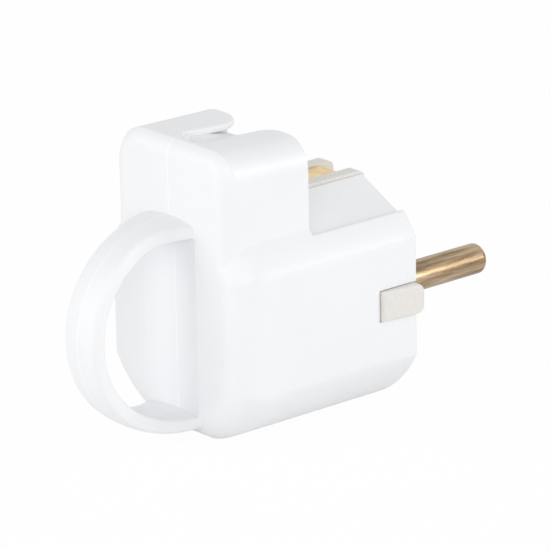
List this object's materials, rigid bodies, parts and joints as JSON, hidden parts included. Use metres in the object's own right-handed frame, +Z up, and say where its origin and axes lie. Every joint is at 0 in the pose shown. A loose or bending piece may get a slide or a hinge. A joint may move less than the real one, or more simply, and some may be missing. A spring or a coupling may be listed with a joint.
{
  "type": "earthed mains plug with pull handle",
  "caption": "White rewireable earthed mains plug with two round brass pins, side-clip earth strips, a pull handle on the back and a cable mouth in its tall top.",
  "frame": {"origin": "centre of the engagement face, midway between the two pins", "axes": "+Y points out along the pins, +Z up towards the cable mouth, +X to the right seen from behind"},
  "size_m": [0.0368, 0.0714, 0.0467],
  "materials": {
    "white_housing": "satin",
    "grey_carrier": "matte",
    "brass_contacts": "satin",
    "zinc_steel": "satin"
  },
  "bodies": {
    "root": {"left_shell": "white_housing", "right_shell": "white_housing", "pin_carrier": "grey_carrier", "cable_clamp_bar": "grey_carrier", "left_pin": "brass_contacts", "right_pin": "brass_contacts", "earth_strip": "brass_contacts", "earth_washer": "brass_contacts", "left_terminal_screw": "zinc_steel", "right_terminal_screw": "zinc_steel", "left_clamp_screw": "zinc_steel", "right_clamp_screw": "zinc_steel", "left_clamp_nut": "zinc_steel", "right_clamp_nut": "zinc_steel", "earth_screw": "zinc_steel", "upper_housing_screw": "zinc_steel", "lower_housing_screw": "zinc_steel"}
  },
  "joints": []
}
